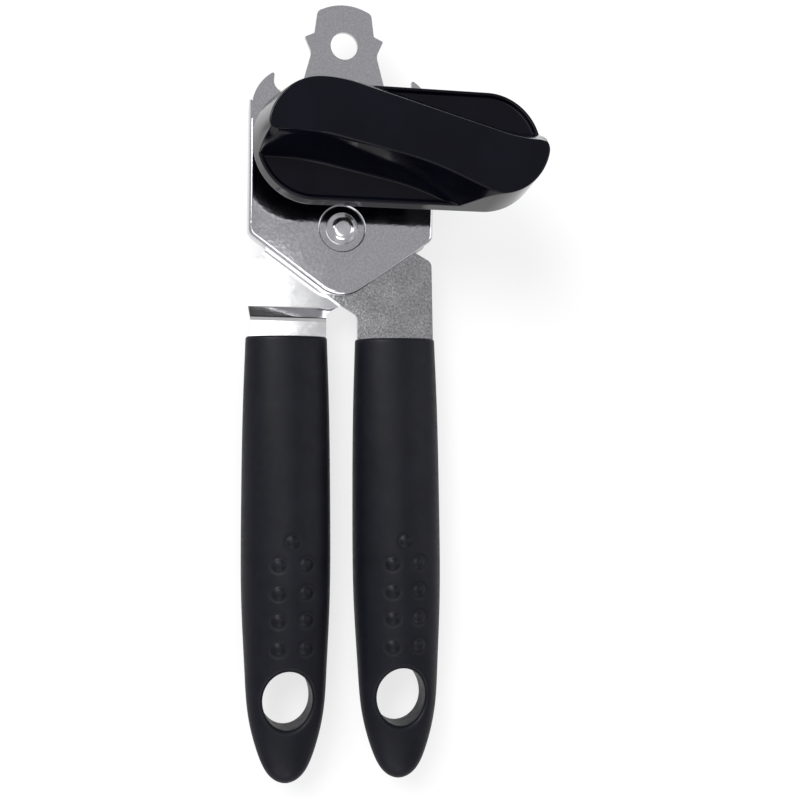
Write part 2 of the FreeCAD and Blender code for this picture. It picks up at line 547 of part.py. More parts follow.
gear_washer = ring_piece("gear_washer", "shaft_radius + slack", "bushing_radius + gear_washer_width",
                         "gear_gap - slack", "drive_x", "drive_y", "left_lever_back - slack / 2")
drive_gear = toothed("drive_gear", "gear_pitch + addendum", "gear_width", "gear_teeth", "tooth_depth",
                     "gap_at_rim", "gap_at_root", "drive_x", "drive_y", "gear_z", "mesh_angle")
key_bore(drive_gear, "-mesh_angle")
feed_wheel = toothed("feed_wheel", "feed_radius", "feed_width", "feed_teeth", "feed_tooth",
                     "feed_gap_at_rim", "feed_root_half", "drive_x", "drive_y", "gear_back", "mesh_angle")
key_bore(feed_wheel, "-mesh_angle")
lock_washer = ring_piece("lock_washer", "thread_radius + run_fit", "lock_washer_radius", "lock_washer_gauge",
                         "drive_x", "drive_y", "feed_back")
feed_nut = new_body("feed_nut", "drive_x", "drive_y", "feed_back - lock_washer_gauge")
nut_outline = new_sketch(feed_nut, "outline")
corner = "nut_radius / cos(30deg)"
add_outline(nut_outline, [
    (corner, "0"), (corner + " / 2", "nut_radius"), ("-%s / 2" % corner, "nut_radius"),
    ("-%s" % corner, "0"), ("-%s / 2" % corner, "-nut_radius"), (corner + " / 2", "-nut_radius")])
add_pad(nut_outline, "feed_back - lock_washer_gauge - rest_z", downward=True)
nut_bore = new_sketch(feed_nut, "bore")
add_circle(nut_bore, "thread_radius + run_fit")
add_pocket(nut_bore)

# ---------------------------------------------------------------- cutter train
# the stud is riveted in the right lever; gear, collar and cutting wheel turn on it as one
cutter_stud = turned("cutter_stud", [
    ("0", "right_lever_z"), ("stud_radius", "right_lever_z"), ("stud_radius", "stud_head_z"),
    ("stud_head", "stud_head_z"), ("stud_head", "rest_z", "stud_head_round"), ("0", "rest_z")],
    "cutter_x", "cutter_y")
cutter_spacer = ring_piece("cutter_spacer", "stud_radius", "cutter_spacer_radius",
                           "right_lever_back - gear_z - spacer_clearance",
                           "cutter_x", "cutter_y", "right_lever_back")
cutter_gear = toothed("cutter_gear", "gear_pitch + addendum", "gear_width", "gear_teeth", "tooth_depth",
                      "gap_at_rim", "gap_at_root", "cutter_x", "cutter_y", "gear_z",
                      "mesh_angle + 180 + 180 / gear_teeth")
cutter_bore = new_sketch(cutter_gear, "bore")
add_circle(cutter_bore, "stud_radius + run_fit")
add_pocket(cutter_bore)
cutter_collar = ring_piece("cutter_collar", "stud_radius + run_fit", "collar_radius", "gear_back - cutter_z",
                           "cutter_x", "cutter_y", "gear_back")
cutting_wheel = turned("cutting_wheel", [
    ("stud_radius + run_fit", "0"), ("cutter_radius", "0"), ("cutter_radius", "-cutter_land"),
    ("cutter_flat", "-cutter_gauge"), ("stud_radius + run_fit", "-cutter_gauge")],
    "cutter_x", "cutter_y", "cutter_z")
stud_washer = ring_piece("stud_washer", "stud_radius", "stud_washer_radius",
                         "stud_washer_gauge - spacer_clearance",
                         "cutter_x", "cutter_y", "cutter_back - spacer_clearance")

# ---------------------------------------------------------------- knob
# A stadium with drafted sides; two scoops, half a turn apart, leave an S-shaped ridge to turn it by.
knob = new_body("knob", "drive_x", "drive_y", "knob_base")
knob_outline = new_sketch(knob, "outline")
add_outline(knob_outline, [
    ("knob_half", "-knob_round", "knob_corner"), ("knob_half", "knob_round", "knob_corner"),
    ("-knob_half", "knob_round", "knob_corner"), ("-knob_half", "-knob_round", "knob_corner")])
add_pad(knob_outline, "knob_top - knob_base", draft="-knob_draft")
scoop = new_sketch(knob, "scoop", offset="knob_top - knob_base")
add_outline(scoop, [
    ("-knob_half - scoop_overrun", "scoop_y"), ("scoop_bend", "scoop_y", "scoop_round"),
    ("scoop_end_x", "scoop_end_y"), ("scoop_end_x + scoop_flare", "-knob_round - scoop_overrun"),
    ("-knob_half - scoop_overrun", "-knob_round - scoop_overrun")])
add_ring(knob, add_pocket(scoop, "knob_top - scoop_floor", draft="-scoop_draft"), "2")
under = new_sketch(knob, "under")
add_outline(under, [
    ("knob_half - knob_wall", "-(knob_round - knob_wall)", "knob_corner - knob_wall"),
    ("knob_half - knob_wall", "knob_round - knob_wall", "knob_corner - knob_wall"),
    ("-(knob_half - knob_wall)", "knob_round - knob_wall", "knob_corner - knob_wall"),
    ("-(knob_half - knob_wall)", "-(knob_round - knob_wall)", "knob_corner - knob_wall")])
add_pocket(under, "scoop_floor - knob_wall - knob_base", upward=True)
core = new_sketch(knob, "core")
half_core = [
    ("-core_end", "core_near", "core_round"), ("core_knee_x", "-core_knee_y"),
    ("core_side_x", "-core_side_y", "core_round"), ("core_end", "-core_far", "core_round")]
add_outline(core, half_core + [("-(%s)" % x, "-(%s)" % y, *rest) for x, y, *rest in half_core])
add_pocket(core, "knob_top - knob_wall - knob_base", upward=True)
hub = new_sketch(knob, "hub", offset="hub_low - knob_base")
add_circle(hub, "hub_radius")
add_pad(hub, "knob_top - knob_wall - hub_low")
hub_bore = new_sketch(knob, "hub_bore", offset="hub_low - knob_base")
add_circle(hub_bore, "shaft_radius + run_fit")
add_pocket(hub_bore, "knob_base - hub_low", upward=True)
key_bore(knob, depth="shaft_top + socket_gap - knob_base", upward=True)

# ---------------------------------------------------------------- grips
def add_ellipse(name, major, minor):
    """An ellipse in its own plane whose two radii follow the sheet."""
    ellipse = doc.addObject("Part::Ellipse", name)
    bind(ellipse, "MajorRadius", major)
    bind(ellipse, "MinorRadius", minor)
    return ellipse


def moulded_grip(label, x, turn, lever):
    """A grip lofted through ellipses, with its hang hole, moulded round a lever's tang."""
    sections = []
    for number in range(len(GRIP_SECTIONS)):
        section = add_ellipse("%s_section_%d" % (label, number),
                              "grip_wide_%d" % number, "grip_deep_%d" % number)
        section.Placement.Rotation = Rotation(Vector(1, 0, 0), 90)
        bind(section, "Placement.Base.y", "-grip_length * grip_share_%d" % number)
        bind(section, "Placement.Base.z", "grip_middle_%d" % number)
        sections.append(section)
    loft = doc.addObject("Part::Loft", label + "_loft")
    loft.Sections = sections
    loft.Solid = True
    place(loft, x, "grip_top")
    turn_about_z(loft, turn)
    hole_edge = add_ellipse(label + "_hole_edge", "hole_half_height", "hole_half_width")
    hole_edge.Placement.Rotation = Rotation(Vector(0, 0, 1), 90)
    hole = doc.addObject("Part::Extrusion", label + "_hole")
    hole.Base = hole_edge
    hole.DirMode = "Custom"
    hole.Dir = Vector(0, 0, 1)
    hole.Solid = True
    bind(hole, "LengthFwd", "grip_length / 2")
    hole.Symmetric = True
    bind(hole, "Placement.Base.x",
         "shift_x + %s + (grip_length - hole_from_tip) * sin(%s * 1deg)" % (x, turn))
    bind(hole, "Placement.Base.y",
         "shift_y + grip_top - (grip_length - hole_from_tip) * cos(%s * 1deg)" % turn)
    turn_about_z(hole, turn)
    holed = doc.addObject("Part::Cut", label + "_holed")
    holed.Base = loft
    holed.Tool = hole
    grip = doc.addObject("Part::Cut", label)
    grip.Base = holed
    grip.Tool = lever
    return grip


left_grip = moulded_grip("left_grip", "left_grip_x", "left_grip_turn", left_lever)
right_grip = moulded_grip("right_grip", "right_grip_x", "right_grip_turn", right_lever)

# ---------------------------------------------------------------- check and write
NODES = [
    "front_plate", "left_lever", "right_lever", "left_grip", "right_grip", "pivot_rivet", "pivot_spacer",
    "lever_washer", "rear_washer", "drive_bushing", "knob_washer", "knob", "drive_shaft", "gear_washer",
    "drive_gear", "feed_wheel", "lock_washer", "feed_nut", "cutter_stud", "cutter_spacer", "cutter_gear",
    "cutter_collar", "cutting_wheel", "stud_washer"]
doc.recompute()
for thing in doc.Objects:
    if "Invalid" in thing.State or "Error" in thing.State:
        raise RuntimeError("%s failed: %s" % (thing.Name, thing.getStatusString()))
os.makedirs("parts", exist_ok=True)
for name in NODES:
    node = doc.getObject(name)
    node.Label = name
    if node.Shape.isNull() or not node.Shape.isValid():
        raise RuntimeError(name + " has no valid shape")
for name in NODES:
    doc.getObject(name).Shape.exportStep("parts/%s.step" % name)
print("wrote", len(NODES), "sub-parts")
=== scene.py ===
import json
import math

import bmesh
import bpy
import numpy as np
from mathutils import Matrix, Vector


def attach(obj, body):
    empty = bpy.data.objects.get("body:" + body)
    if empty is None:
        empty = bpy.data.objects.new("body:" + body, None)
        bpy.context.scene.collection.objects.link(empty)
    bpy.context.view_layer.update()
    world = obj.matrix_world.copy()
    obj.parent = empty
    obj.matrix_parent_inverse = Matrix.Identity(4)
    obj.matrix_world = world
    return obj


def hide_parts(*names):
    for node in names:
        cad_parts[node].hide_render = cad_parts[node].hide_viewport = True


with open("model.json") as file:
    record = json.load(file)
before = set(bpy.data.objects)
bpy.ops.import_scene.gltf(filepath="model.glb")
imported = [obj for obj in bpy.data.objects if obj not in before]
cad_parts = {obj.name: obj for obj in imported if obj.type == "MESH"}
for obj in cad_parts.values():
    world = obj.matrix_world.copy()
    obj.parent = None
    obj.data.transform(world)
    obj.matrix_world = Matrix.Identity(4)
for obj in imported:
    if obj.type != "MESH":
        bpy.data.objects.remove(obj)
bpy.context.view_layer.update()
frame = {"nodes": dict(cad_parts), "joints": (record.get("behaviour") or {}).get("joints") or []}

MM = 0.001

# ---------------------------------------------------------------- turning knob
# One moulding of glossy near-black plastic, keyed to the drive shaft. Two scoops on opposite sides leave
# an S-shaped ridge to turn it by, and a narrow rim stands round the floor of each scoop.
AXES = {joint["name"]: Vector(joint["pos_m"]) for joint in frame["joints"]}
PLATE_FACE = AXES["knob_spin"].z + 8.0 * MM
KNOB_PLACE = np.array([AXES["knob_spin"].x, AXES["knob_spin"].y, PLATE_FACE])
KNOB_ROUND, KNOB_STRAIGHT = 15.65 * MM, 22.6 * MM
KNOB_BASE, KNOB_TOP, KNOB_CEILING = 14.9 * MM, 32.3 * MM, 16.4 * MM
KNOB_DRAFT, KNOB_WALL = math.tan(math.radians(7.5)), 2.2 * MM
RIM_HEIGHT, RIM_WIDTH, RIM_SLOPE = 19.9 * MM, 0.75 * MM, 0.45 * MM
FLOOR_EDGE, FLOOR_MIDDLE = 19.0 * MM, 18.5 * MM
NEAR_LINE, NEAR_BENDS = -0.1 * MM, [(-24.0 * MM, 0.21), (-10.2 * MM, 0.41)]
FAR_LINE, FAR_BENDS = -0.75 * MM, [(-28.5 * MM, 0.27)]
SCOOP_STEEPNESS, SCOOP_SOFTNESS = 3.1, 1.2 * MM
CORNER_SOFTNESS, CORNER_PULL, CORNER_REACH = 1.3 * MM, 0.9 * MM, 3.4 * MM
EDGE_SOFTNESS, EDGE_REACH, EDGE_SAMPLES = 0.26 * MM, 2.5, 21
HUB_RADIUS, HUB_BORE, HUB_LOW, HUB_OVERLAP, HUB_STEPS = 6.5 * MM, 3.55 * MM, 1.2 * MM, 0.5 * MM, 64
END_PATHS, END_CROWDING, STRAIGHT_PATHS = 96, 1.25, 150
PATH_START, PATH_SAMPLES, PATH_STEPS = -8 * MM, 2400, [12, 4, 6, 26, 6, 6, 26, 26, 30]
MERGED_WITHIN, COLLAPSED_WITHIN = 0.004 * MM, 0.001 * MM


def soft_max(a, b, width):
    """The larger of two numbers, blended by a parabola where they differ by less than width."""
    near = np.clip(width - np.abs(a - b), 0, None)
    return np.maximum(a, b) + near ** 2 / (4 * width)


def first_crossing(position, difference):
    """Along each row, the position where difference first turns positive, on straight lines."""
    after = np.argmax(difference > 0, axis=1).clip(1)
    row = np.arange(len(difference))
    low, high = difference[row, after - 1], difference[row, after]
    share = np.clip(-low / (high - low), 0, 1)
    return position[after - 1] + share * (position[after] - position[after - 1])


def grid_faces(rows, columns, closed):
    """Quads of a grid of points, and closed joins its last column to its first."""
    number = np.arange(rows * columns).reshape(rows, columns)
    if closed:
        number = np.hstack([number, number[:, :1]])
    corners = [number[:-1, :-1], number[:-1, 1:], number[1:, 1:], number[1:, :-1]]
    return np.stack(corners, axis=-1).reshape(-1, 4)


def piece_from_grids(name, grids):
    """One smooth mesh from grids of points (rows, columns, 3), each with a flag that joins its sides.

    Doubled points are merged, and the faces are turned outwards."""
    points, faces, start = [], [], 0
    for grid, closed in grids:
        points.append(grid.reshape(-1, 3))
        faces.append(grid_faces(grid.shape[0], grid.shape[1], closed) + start)
        start += grid.shape[0] * grid.shape[1]
    mesh = bpy.data.meshes.new(name)
    mesh.from_pydata(np.concatenate(points).tolist(), [], np.concatenate(faces).tolist())
    work = bmesh.new()
    work.from_mesh(mesh)
    bmesh.ops.remove_doubles(work, verts=work.verts, dist=MERGED_WITHIN)
    bmesh.ops.dissolve_degenerate(work, edges=work.edges, dist=COLLAPSED_WITHIN)
    bmesh.ops.recalc_face_normals(work, faces=work.faces)
    work.to_mesh(mesh)
    work.free()
    mesh.shade_smooth()
    piece = bpy.data.objects.new(name, mesh)
    bpy.context.scene.collection.objects.link(piece)
    return piece


def rounded_paths(corners, softness):
    """Polylines through corners, a list of (at, height) pairs of arrays, one entry to a path.

    Each is walked in PATH_STEPS steps between corners, crowded towards them, and its corners are rounded by
    a running mean with bell-shaped weights, mirrored at its two ends."""
    at, height = (np.stack(part, axis=1) for part in zip(*corners))
    paths = len(at)
    walked = np.cumsum(np.hypot(np.diff(at), np.diff(height)), axis=1)
    length = np.concatenate([np.zeros((paths, 1)), walked], axis=1)
    spread = [0.5 - 0.5 * np.cos(np.pi * np.arange(count) / count) for count in PATH_STEPS]
    steps = np.concatenate(
        [length[:, k:k + 1] + (length[:, k + 1:k + 2] - length[:, k:k + 1]) * part
         for k, part in enumerate(spread)] + [length[:, -1:]], axis=1)

    window = softness * np.linspace(-EDGE_REACH, EDGE_REACH, EDGE_SAMPLES)
    weight = np.exp(-0.5 * (window / softness) ** 2)
    weight /= weight.sum()
    smooth_at, smooth_height = np.zeros_like(steps), np.zeros_like(steps)
    for shift, share in zip(window, weight):
        for path in range(paths):
            end = length[path, -1]
            spot = end - np.abs(end - np.abs(steps[path] + shift))
            smooth_at[path] += share * np.interp(spot, length[path], at[path])
            smooth_height[path] += share * np.interp(spot, length[path], height[path])
    return smooth_at, smooth_height


def knob_half(line, bends):
    """Half of the knob's skin, on the near side, as a grid (paths, steps, 3) about the knob's axis.

    A path runs inwards from the stadium's edge to its middle line, at right angles to the edge. The ridge
    ends along a level line, and beyond each bend along one that leans away from it. Along a path the height
    is the lowest of the drafted side and the ridge's top, and the greatest of the scoop's floor with its rim
    and the scoop's wall, whose distance from the ridge's line is a soft maximum of straight lines."""
    turn = np.radians(90 * np.linspace(0, 1, END_PATHS) ** END_CROWDING)
    middle = np.linspace(-1, 1, STRAIGHT_PATHS)[1:-1]
    centre_x = KNOB_STRAIGHT * np.concatenate([-np.ones_like(turn), middle, np.ones_like(turn)])
    out_x = np.concatenate([-np.cos(turn), np.zeros_like(middle), np.cos(turn[::-1])])
    out_y = -np.concatenate([np.sin(turn), np.ones_like(middle), np.sin(turn[::-1])])

    inset = np.linspace(PATH_START, KNOB_ROUND, PATH_SAMPLES)
    along = (KNOB_ROUND - inset)[None, :]
    x, y = centre_x[:, None] + along * out_x[:, None], along * out_y[:, None]
    beside = y - line
    for bend, lean in bends:
        leaning = (y - line + lean * (x - bend)) / math.hypot(1, lean)
        beside = soft_max(beside, leaning, SCOOP_SOFTNESS)

    flat = np.ones(len(centre_x))
    side_top = (KNOB_TOP - KNOB_BASE) * KNOB_DRAFT
    top = soft_max(first_crossing(inset, beside), side_top * flat, CORNER_SOFTNESS)
    top = np.minimum(top, KNOB_ROUND - 0.02 * MM)
    reach = np.array([np.interp(edge, inset, row) for edge, row in zip(top, beside)])
    wall = KNOB_TOP + SCOOP_STEEPNESS * (beside - reach[:, None])
    side = KNOB_BASE + inset / KNOB_DRAFT

    rim_out = (RIM_HEIGHT - KNOB_BASE) * KNOB_DRAFT
    floor_at = rim_out + np.array([0, RIM_WIDTH, RIM_WIDTH + RIM_SLOPE, KNOB_ROUND - rim_out])
    floor_z = np.array([RIM_HEIGHT, RIM_HEIGHT, FLOOR_EDGE, FLOOR_MIDDLE])
    above_floor = wall - np.interp(inset, floor_at, floor_z)
    meets_side = first_crossing(inset, np.where(inset < 0, -1.0, side - wall))
    meets_floor = first_crossing(inset, np.where(inset < rim_out, -1.0, above_floor))
    on_side = meets_side > rim_out

    def corner(at):
        """A corner of the floor's outline, pushed back to where the wall stands."""
        place = np.where(on_side, meets_side, np.minimum(at, meets_floor))
        side_height = KNOB_BASE + meets_side / KNOB_DRAFT
        return place, np.where(on_side, side_height, np.interp(place, floor_at, floor_z))

    inner, outer = KNOB_WALL * flat, 0 * flat
    smooth_at, smooth_height = rounded_paths([
        (KNOB_ROUND * flat, KNOB_CEILING * flat), (inner, KNOB_CEILING * flat), (inner, KNOB_BASE * flat),
        (outer, KNOB_BASE * flat), *[corner(at) for at in floor_at], (top, KNOB_TOP * flat),
        (KNOB_ROUND * flat, KNOB_TOP * flat)], EDGE_SOFTNESS)
    smooth_at[:, 0], smooth_at[:, -1] = KNOB_ROUND, KNOB_ROUND
    out = KNOB_ROUND - smooth_at
    x, y = centre_x[:, None] + out * out_x[:, None], out * out_y[:, None]
    return np.stack([x, y, smooth_height], axis=-1)


def round_corners(skin):
    """Pull the ridge's two upper corners in, so that they are round from above."""
    side_top = (KNOB_TOP - KNOB_BASE) * KNOB_DRAFT
    corner = np.array([side_top - KNOB_STRAIGHT - KNOB_ROUND, 0])
    up = np.clip((skin[..., 2] - RIM_HEIGHT) / (KNOB_TOP - RIM_HEIGHT), 0, 1)[..., None]
    moved = skin.copy()
    for side, line in ((1, NEAR_LINE), (-1, FAR_LINE)):
        away = np.linalg.norm(skin[..., :2] - side * (corner + [0, line]), axis=-1)[..., None]
        pull = CORNER_PULL * np.clip(1 - away / CORNER_REACH, 0, 1) ** 2 * up ** 2 * (3 - 2 * up)
        moved[..., :2] += side * pull * math.sqrt(0.5)
    return moved


def round_grid(profile, steps):
    """A closed outline of (radius, height) turned about z, as a grid of (outline, turn) points."""
    radius, height = np.array(profile + profile[:1]).T
    turn = np.linspace(0, 2 * np.pi, steps, endpoint=False)
    return np.stack([radius[:, None] * np.cos(turn), radius[:, None] * np.sin(turn),
                     np.repeat(height[:, None], steps, axis=1)], axis=-1)


def new_material(name, colour, metallic, roughness):
    """A material whose principled shader has these constants, with its tree and shader."""
    material = bpy.data.materials.new(name)
    material.use_nodes = True
    tree = material.node_tree
    shader = tree.nodes["Principled BSDF"]
    shader.inputs["Base Color"].default_value = (*colour, 1)
    shader.inputs["Metallic"].default_value = metallic
    shader.inputs["Roughness"].default_value = roughness
    return material, tree, shader


def add_noise(tree, scale, detail, stretch=(1, 1, 1)):
    """Noise on object coordinates, with its lumps squeezed along the axes by stretch."""
    place = tree.nodes.new("ShaderNodeTexCoord")
    mapping = tree.nodes.new("ShaderNodeMapping")
    mapping.inputs["Scale"].default_value = stretch
    noise = tree.nodes.new("ShaderNodeTexNoise")
    noise.inputs["Scale"].default_value = scale
    noise.inputs["Detail"].default_value = detail
    tree.links.new(place.outputs["Object"], mapping.inputs["Vector"])
    tree.links.new(mapping.outputs["Vector"], noise.inputs["Vector"])
    return noise.outputs["Fac"]


def vary(tree, source, socket, low, high):
    """Drive a number or a colour of the shader from low to high, over the span that noise mostly keeps."""
    span = (0.3, 0.7)
    if isinstance(low, tuple):
        ramp = tree.nodes.new("ShaderNodeValToRGB")
        for element, colour, position in zip(ramp.color_ramp.elements, (low, high), span):
            element.color, element.position = (*colour, 1), position
        tree.links.new(source, ramp.inputs["Fac"])
        tree.links.new(ramp.outputs["Color"], socket)
        return
    spread = tree.nodes.new("ShaderNodeMapRange")
    spread.inputs["From Min"].default_value, spread.inputs["From Max"].default_value = span
    spread.inputs["To Min"].default_value, spread.inputs["To Max"].default_value = low, high
    tree.links.new(source, spread.inputs["Value"])
    tree.links.new(spread.outputs["Result"], socket)


def add_bump(tree, shader, height, depth, strength=1.0):
    """Press a noise into the surface as bumps of this depth, over any that are there."""
    bump = tree.nodes.new("ShaderNodeBump")
    bump.inputs["Distance"].default_value = depth
    bump.inputs["Strength"].default_value = strength
    previous = shader.inputs["Normal"].links
    if previous:
        tree.links.new(previous[0].from_socket, bump.inputs["Normal"])
    tree.links.new(height, bump.inputs["Height"])
    tree.links.new(bump.outputs["Normal"], shader.inputs["Normal"])


def put_on(piece, material):
    """Make this the piece's only material."""
    piece.data.materials.clear()
    piece.data.materials.append(material)


near_half = round_corners(knob_half(NEAR_LINE, NEAR_BENDS))
far_half = round_corners(knob_half(FAR_LINE, FAR_BENDS) * [-1, -1, 1])
hub_top = KNOB_CEILING + HUB_OVERLAP
hub = round_grid([(HUB_BORE, HUB_LOW), (HUB_RADIUS, HUB_LOW), (HUB_RADIUS, hub_top), (HUB_BORE, hub_top)],
                 HUB_STEPS)
knob = piece_from_grids("turning_knob", [
    (near_half + KNOB_PLACE, False), (far_half + KNOB_PLACE, False), (hub + KNOB_PLACE, True)])

glossy_plastic, tree, shader = new_material("glossy_black_plastic", (0.002, 0.002, 0.004), 0, 0.1)
shader.inputs["Specular IOR Level"].default_value = 0.14
vary(tree, add_noise(tree, 220, 3), shader.inputs["Roughness"], 0.07, 0.15)
vary(tree, add_noise(tree, 90, 2), shader.inputs["Base Color"], (0.0012, 0.0012, 0.003),
     (0.0022, 0.0022, 0.005))
add_bump(tree, shader, add_noise(tree, 70, 1), 0.02 * MM)
put_on(knob, glossy_plastic)
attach(knob, "drive_train")
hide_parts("knob")

# ---------------------------------------------------------------- grips
# Two like mouldings of satin near-black soft plastic, moulded round the levers' tangs. Each has an oval
# hang hole with a rounded rim, nine raised thumb dots in sunk rings, and a faint sink line over the tang.
GRIP_LENGTH, GRIP_TOP = 121.2 * MM, AXES["handle_hinge"].y - 29.3 * MM
GRIP_PLACES = {"left": (-26.25 * MM, 0.55), "right": (3.9 * MM, 1.18)}
GRIP_BODIES = {"left": "drive_side", "right": "cutter_side"}
GRIP_SHARE = np.array([0.0, 0.14, 0.371, 0.561, 0.722, 0.8375, 0.928, 0.978, 1.0])
GRIP_HALF_WIDTH = np.array([11.1, 11.7, 12.15, 12.15, 11.35, 10.4, 7.8, 4.9, 0.0]) * MM
GRIP_HALF_DEPTH = np.array([7.5, 8.5, 9.35, 9.4, 8.1, 6.2, 4.5, 2.9, 0.0]) * MM
GRIP_MIDDLE = np.array([-6.0, -6.2, -6.4, -6.4, -6.1, -5.8, -5.6, -5.5, -5.5]) * MM
GRIP_DOTTED = 52 * MM
HOLE_ALONG, HOLE_HALF_WIDTH, HOLE_HALF_HEIGHT = 98.0 * MM, 6.75 * MM, 8.0 * MM
HOLE_ROUND, HOLE_BLOCK = 1.6 * MM, (87.5 * MM, 110.0 * MM)
TOP_ROUND = 0.8 * MM
DOT_RADIUS, DOT_HEIGHT, DOT_FULLNESS = 1.55 * MM, 0.45 * MM, 0.7
DOT_RING, DOT_RING_DEPTH, DOT_RING_WIDTH = 2.0 * MM, 0.22 * MM, 0.35 * MM
DOT_MIDDLE, DOT_SIDE, DOT_FIRST = 0.8 * MM, 3.75 * MM, 55.1 * MM
DOT_ALONG = np.array([61.2, 68.7, 76.1, 83.7]) * MM
SINK_ALONG, SINK_DEPTH, SINK_WIDTH, SINK_HALF_LENGTH = 17.7 * MM, 0.06 * MM, 0.5 * MM, 8 * MM
ACROSS_STEPS, ROUND_STEPS, PLAIN_STEPS, DOTTED_STEPS = 97, 9, 60, 119
BLOCK_STEPS, TIP_STEPS, SKIN_STEPS, SKIN_CROWDING = 45, 34, 34, 1.7
WALL_STEPS, LID_STEPS = 9, 12


def through(knots, values, at):
    """A smooth curve through values at knots: cubics whose slope at a knot is the mean slope beside it."""
    slope = np.gradient(values, knots)
    piece = np.clip(np.searchsorted(knots, at) - 1, 0, len(knots) - 2)
    span = knots[piece + 1] - knots[piece]
    t = (at - knots[piece]) / span
    return (values[piece] * (1 + 2 * t) * (1 - t) ** 2 + values[piece + 1] * t ** 2 * (3 - 2 * t)
            + span * (slope[piece] * t * (1 - t) ** 2 - slope[piece + 1] * t ** 2 * (1 - t)))


def grip_size(along, sizes):
    """A half size of the grip's section, which runs smoothly in the root of the share left to the tip."""
    left = np.sqrt(np.clip(1 - along / GRIP_LENGTH, 0, 1))
    return through(np.sqrt(1 - GRIP_SHARE)[::-1], sizes[::-1], left)


def quarter_round(away, radius):
    """How far a quarter round drops below the surface, at a distance from the edge that it rounds."""
    return radius - np.sqrt(np.clip(radius ** 2 - np.clip(radius - away, 0, None) ** 2, 0, None))


def grip_surface(angle, along, face):
    """Points of the grip's skin: an ellipse across it, with angle 0 at the top of face 1 or the foot of -1.

    Thumb dots rise and their rings sink on face 1, and a shallow line sinks over the tang's shoulder."""
    wide, deep = grip_size(along, GRIP_HALF_WIDTH), grip_size(along, GRIP_HALF_DEPTH)
    middle = through(GRIP_SHARE, GRIP_MIDDLE, along / GRIP_LENGTH)
    lost = quarter_round(along, TOP_ROUND)
    x = (wide - lost) * np.sin(angle)
    z = middle + face * (deep - lost) * np.cos(angle)
    if face > 0:
        pairs = [(DOT_MIDDLE + side * DOT_SIDE, at) for at in DOT_ALONG for side in (-1, 1)]
        for spot_x, spot_along in [(DOT_MIDDLE, DOT_FIRST)] + pairs:
            away = np.hypot(x - spot_x, along - spot_along)
            dome = np.clip(1 - (away / DOT_RADIUS) ** 2, 0, None)
            ring = np.exp(-((away - DOT_RING) / DOT_RING_WIDTH) ** 2)
            z = z + DOT_HEIGHT * dome ** DOT_FULLNESS - DOT_RING_DEPTH * ring
        sink = np.exp(-((along - SINK_ALONG) / SINK_WIDTH) ** 2)
        z = z - SINK_DEPTH * sink * np.clip(1 - (x / SINK_HALF_LENGTH) ** 4, 0, 1)
    return np.stack(np.broadcast_arrays(x, -along, z), axis=-1)


def grip_grids():
    """Grids of the grip about its own top: the stretches above and below the hole, the two skins round the
    hole, the hole's wall and the flat top. Round the hole a skin is blended from the hole's ellipse out to
    the block's border, in angle and distance along, and a quarter round turns it down into the hole."""
    across = np.radians(np.linspace(-90, 90, ACROSS_STEPS))
    upper = np.concatenate([
        TOP_ROUND * (1 - np.cos(np.radians(np.linspace(0, 90, ROUND_STEPS))))[:-1],
        np.linspace(TOP_ROUND, GRIP_DOTTED, PLAIN_STEPS)[:-1],
        np.linspace(GRIP_DOTTED, HOLE_BLOCK[0], DOTTED_STEPS)])
    ends = np.sqrt(1 - np.array([HOLE_BLOCK[1], GRIP_LENGTH]) / GRIP_LENGTH)
    lower = GRIP_LENGTH * (1 - np.linspace(ends[0], ends[1], TIP_STEPS) ** 2)
    block = np.linspace(HOLE_BLOCK[0], HOLE_BLOCK[1], BLOCK_STEPS)
    grids = [grip_surface(across[None, :], part[:, None], face)
             for part in (upper, lower) for face in (1, -1)]

    angle_steps, along_steps = np.ones(len(across) - 1), np.ones(len(block) - 1)
    border_angle = np.concatenate([
        across[:-1], across[-1] * along_steps, across[::-1][:-1], across[0] * along_steps])
    border_along = np.concatenate([
        block[0] * angle_steps, block[:-1], block[-1] * angle_steps, block[::-1][:-1]])
    turn = np.arctan2((border_along - HOLE_ALONG) / (block[-1] - block[0]), border_angle / np.pi)
    hole_x, hole_along = HOLE_HALF_WIDTH * np.cos(turn), HOLE_ALONG + HOLE_HALF_HEIGHT * np.sin(turn)
    hole_angle = np.arcsin(hole_x / grip_size(hole_along, GRIP_HALF_WIDTH))
    share = np.linspace(0, 1, SKIN_STEPS)[:, None] ** SKIN_CROWDING
    angle = hole_angle + (border_angle - hole_angle) * share
    along = hole_along + (border_along - hole_along) * share
    rims = []
    for face in (1, -1):
        skin = grip_surface(angle, along, face)
        away = np.hypot(skin[..., 0] - hole_x, skin[..., 1] + hole_along)
        skin[..., 2] -= face * quarter_round(away, HOLE_ROUND)
        grids.append(np.concatenate([skin, skin[:, :1]], axis=1))
        rims.append(skin[0])
    wall = rims[0] + (rims[1] - rims[0]) * np.linspace(0, 1, WALL_STEPS)[:, None, None]
    grids.append(np.concatenate([wall, wall[:, :1]], axis=1))
    edge = np.concatenate([grids[0][0], grids[1][0][::-1]])
    inward = np.linspace(0, 1, LID_STEPS)[:, None, None]
    grids.append(edge + (np.array([0, 0, GRIP_MIDDLE[0]]) - edge) * inward)
    return grids


satin_plastic, tree, shader = new_material("satin_black_plastic", (0.003, 0.003, 0.004), 0, 0.4)
shader.inputs["Specular IOR Level"].default_value = 0.12
vary(tree, add_noise(tree, 500, 4), shader.inputs["Roughness"], 0.38, 0.5)
vary(tree, add_noise(tree, 120, 3), shader.inputs["Base Color"], (0.003, 0.0032, 0.0055),
     (0.0048, 0.005, 0.008))
add_bump(tree, shader, add_noise(tree, 2500, 3), 0.01 * MM, 0.5)

